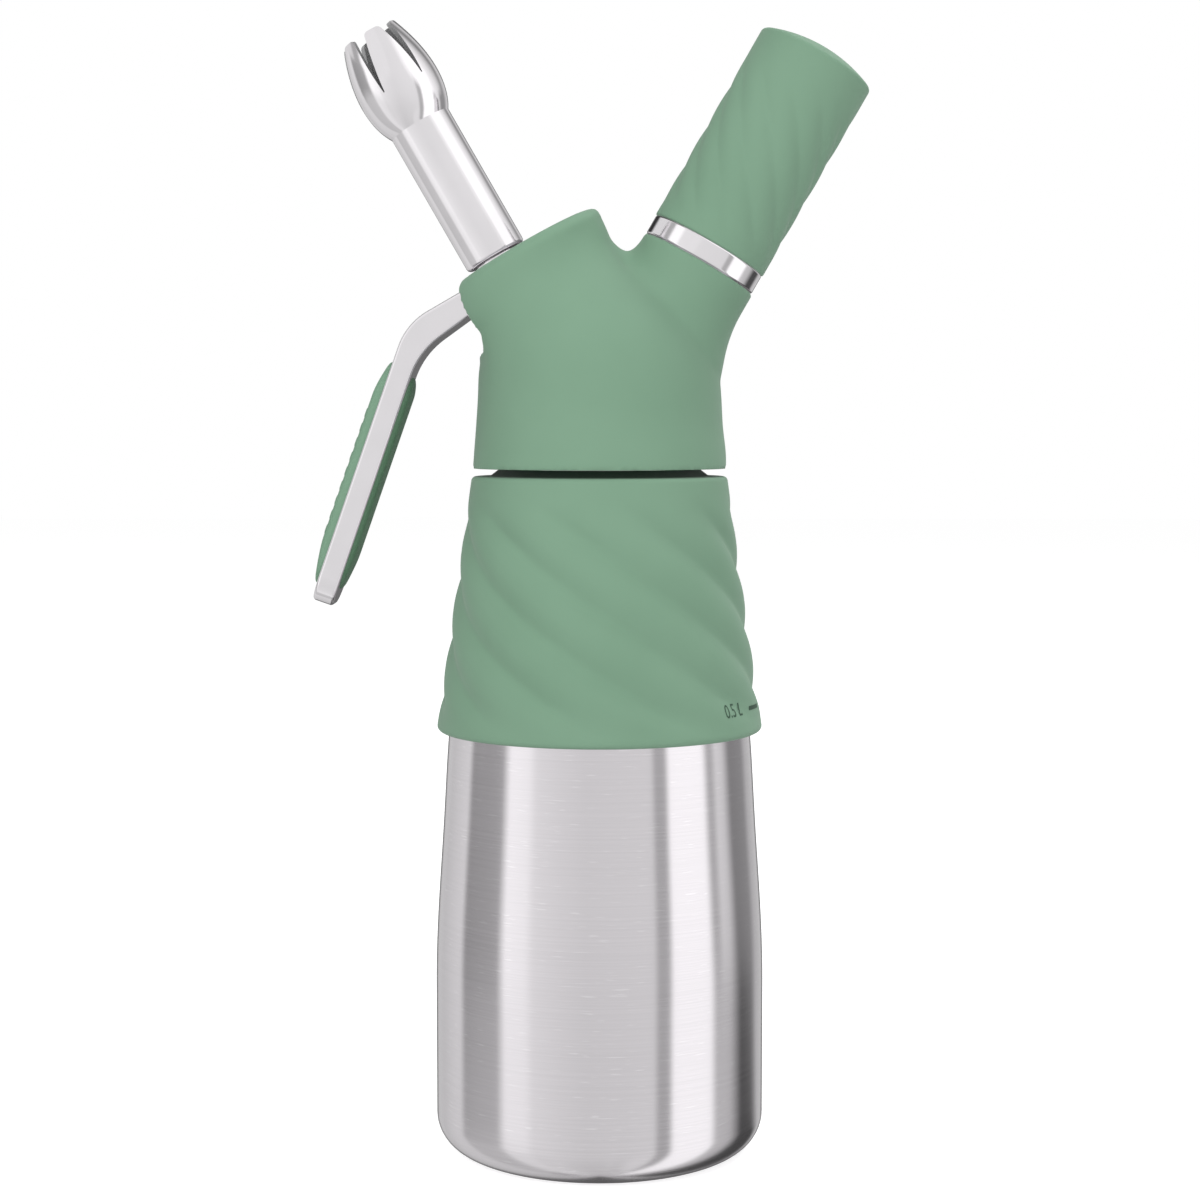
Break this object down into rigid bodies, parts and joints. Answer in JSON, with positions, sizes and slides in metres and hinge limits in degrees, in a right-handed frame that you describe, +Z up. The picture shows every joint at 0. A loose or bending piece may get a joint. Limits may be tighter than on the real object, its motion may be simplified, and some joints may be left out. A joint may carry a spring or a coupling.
{
  "type": "whipped cream dispenser",
  "caption": "Steel bottle with a screw-on head, squeeze lever, petalled decorator tip and screw-on gas charger holder, with soft ribbed grips.",
  "frame": {"origin": "centre of the bottle's flat base, on the surface it stands on", "axes": "+Z up along the bottle's axis, +X towards the charger holder, -X towards the tip and the lever, +Y away from the viewer"},
  "size_m": [0.1367, 0.081, 0.2767],
  "materials": {
    "polished_steel": "polished bright",
    "satin_steel": "satin",
    "cast_aluminium": "machined",
    "green_silicone": "soft matte",
    "clear_silicone": "soft matte",
    "black_rubber": "matte",
    "sintered_steel": "porous"
  },
  "bodies": {
    "bottle": {"bottle": "polished_steel", "bottle_sleeve": "green_silicone"},
    "gasket": {"head_gasket": "clear_silicone"},
    "head": {"head_body": "cast_aluminium", "head_cover": "green_silicone", "lever_pin": "satin_steel", "nozzle_adapter": "polished_steel", "stem_upper_ring": "black_rubber", "piercing_pin": "satin_steel", "charger_seal": "black_rubber", "gas_filter": "sintered_steel", "check_valve": "clear_silicone", "valve_spring": "satin_steel"},
    "lever": {"lever": "polished_steel", "lever_pad": "green_silicone"},
    "valve": {"valve_stem": "satin_steel", "valve_seal": "black_rubber", "stem_lower_ring": "black_rubber", "stem_collar": "satin_steel", "stem_clip": "satin_steel"},
    "tip_washer": {"tip_seal": "black_rubber"},
    "tip": {"decorator_tip": "polished_steel"},
    "charger": {"charger": "satin_steel"},
    "holder": {"charger_holder": "polished_steel", "holder_grip": "green_silicone"}
  },
  "joints": [
    {"name": "head_lift", "type": "slide", "parent": "bottle", "child": "gasket", "axis": [0, 0, 1], "range_m": [0, 0.01125]},
    {"name": "head_turn", "type": "hinge", "parent": "gasket", "child": "head", "pos_m": [0, 0, 0.1765], "axis": [0, 0, 1], "range_deg": [0, 811]},
    {"name": "lever_squeeze", "type": "hinge", "parent": "head", "child": "lever", "pos_m": [-0.00891, 0, 0.21593], "axis": [0, -1, 0], "range_deg": [0, 14], "stiffness_Nm_per_rad": 1, "springref_deg": -9.74},
    {"name": "valve_slide", "type": "slide", "parent": "head", "child": "valve", "axis": [0.5, 0, -0.866], "range_m": [0, 0.0044], "deforming": ["valve_spring"]},
    {"name": "tip_lift", "type": "slide", "parent": "head", "child": "tip_washer", "axis": [-0.5, 0, 0.866], "range_m": [0, 0.0055]},
    {"name": "tip_turn", "type": "hinge", "parent": "tip_washer", "child": "tip", "pos_m": [0, 0, 0.1765], "axis": [-0.5, 0, 0.866], "range_deg": [0, 991]},
    {"name": "charger_lift", "type": "slide", "parent": "head", "child": "charger", "axis": [0.5, 0, 0.866], "range_m": [0, 0.00825]},
    {"name": "holder_turn", "type": "hinge", "parent": "charger", "child": "holder", "pos_m": [0, 0, 0.1765], "axis": [0.5, 0, 0.866], "range_deg": [0, 991]}
  ],
  "couplings": [
    {"joint": "head_turn", "follows": "head_lift", "rad_per_m": 1256.6},
    {"joint": "valve_slide", "follows": "lever_squeeze", "m_per_rad": 0.0176},
    {"joint": "tip_turn", "follows": "tip_lift", "rad_per_m": 3141.6},
    {"joint": "holder_turn", "follows": "charger_lift", "rad_per_m": 2094.4}
  ]
}
